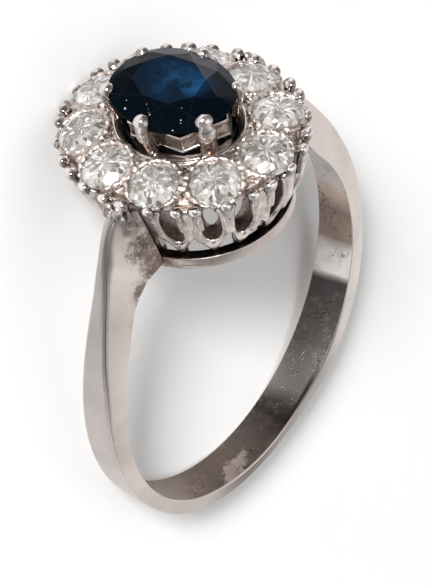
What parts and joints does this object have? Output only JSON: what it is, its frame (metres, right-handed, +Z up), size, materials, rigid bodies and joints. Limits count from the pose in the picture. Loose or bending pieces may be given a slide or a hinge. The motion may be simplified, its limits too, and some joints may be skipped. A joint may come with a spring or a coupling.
{
  "type": "sapphire and diamond cluster ring",
  "caption": "White gold cluster ring: an oval sapphire in claws over a border of round diamonds, on a pierced coronet and a plain tapered band.",
  "frame": {"origin": "on the ground, below the middle of the ring's box, with the ring lying on its side", "axes": "+X across the shoulders, +Y from the bottom of the band to the head, +Z up from the ground; the finger's axis leans from +Z by the angle at which the ring lies on its claws and its band"},
  "size_m": [0.0188, 0.023, 0.011],
  "materials": {
    "white_gold": "worn satin white gold, darker in the hollows",
    "sapphire": "polished dark blue cut stone",
    "diamond": "polished clear cut stone"
  },
  "bodies": {
    "root": {"ring_mount": "white_gold", "sapphire": "sapphire", "diamond_01": "diamond", "diamond_02": "diamond", "diamond_03": "diamond", "diamond_04": "diamond", "diamond_05": "diamond", "diamond_06": "diamond", "diamond_07": "diamond", "diamond_08": "diamond", "diamond_09": "diamond", "diamond_10": "diamond"}
  },
  "joints": []
}
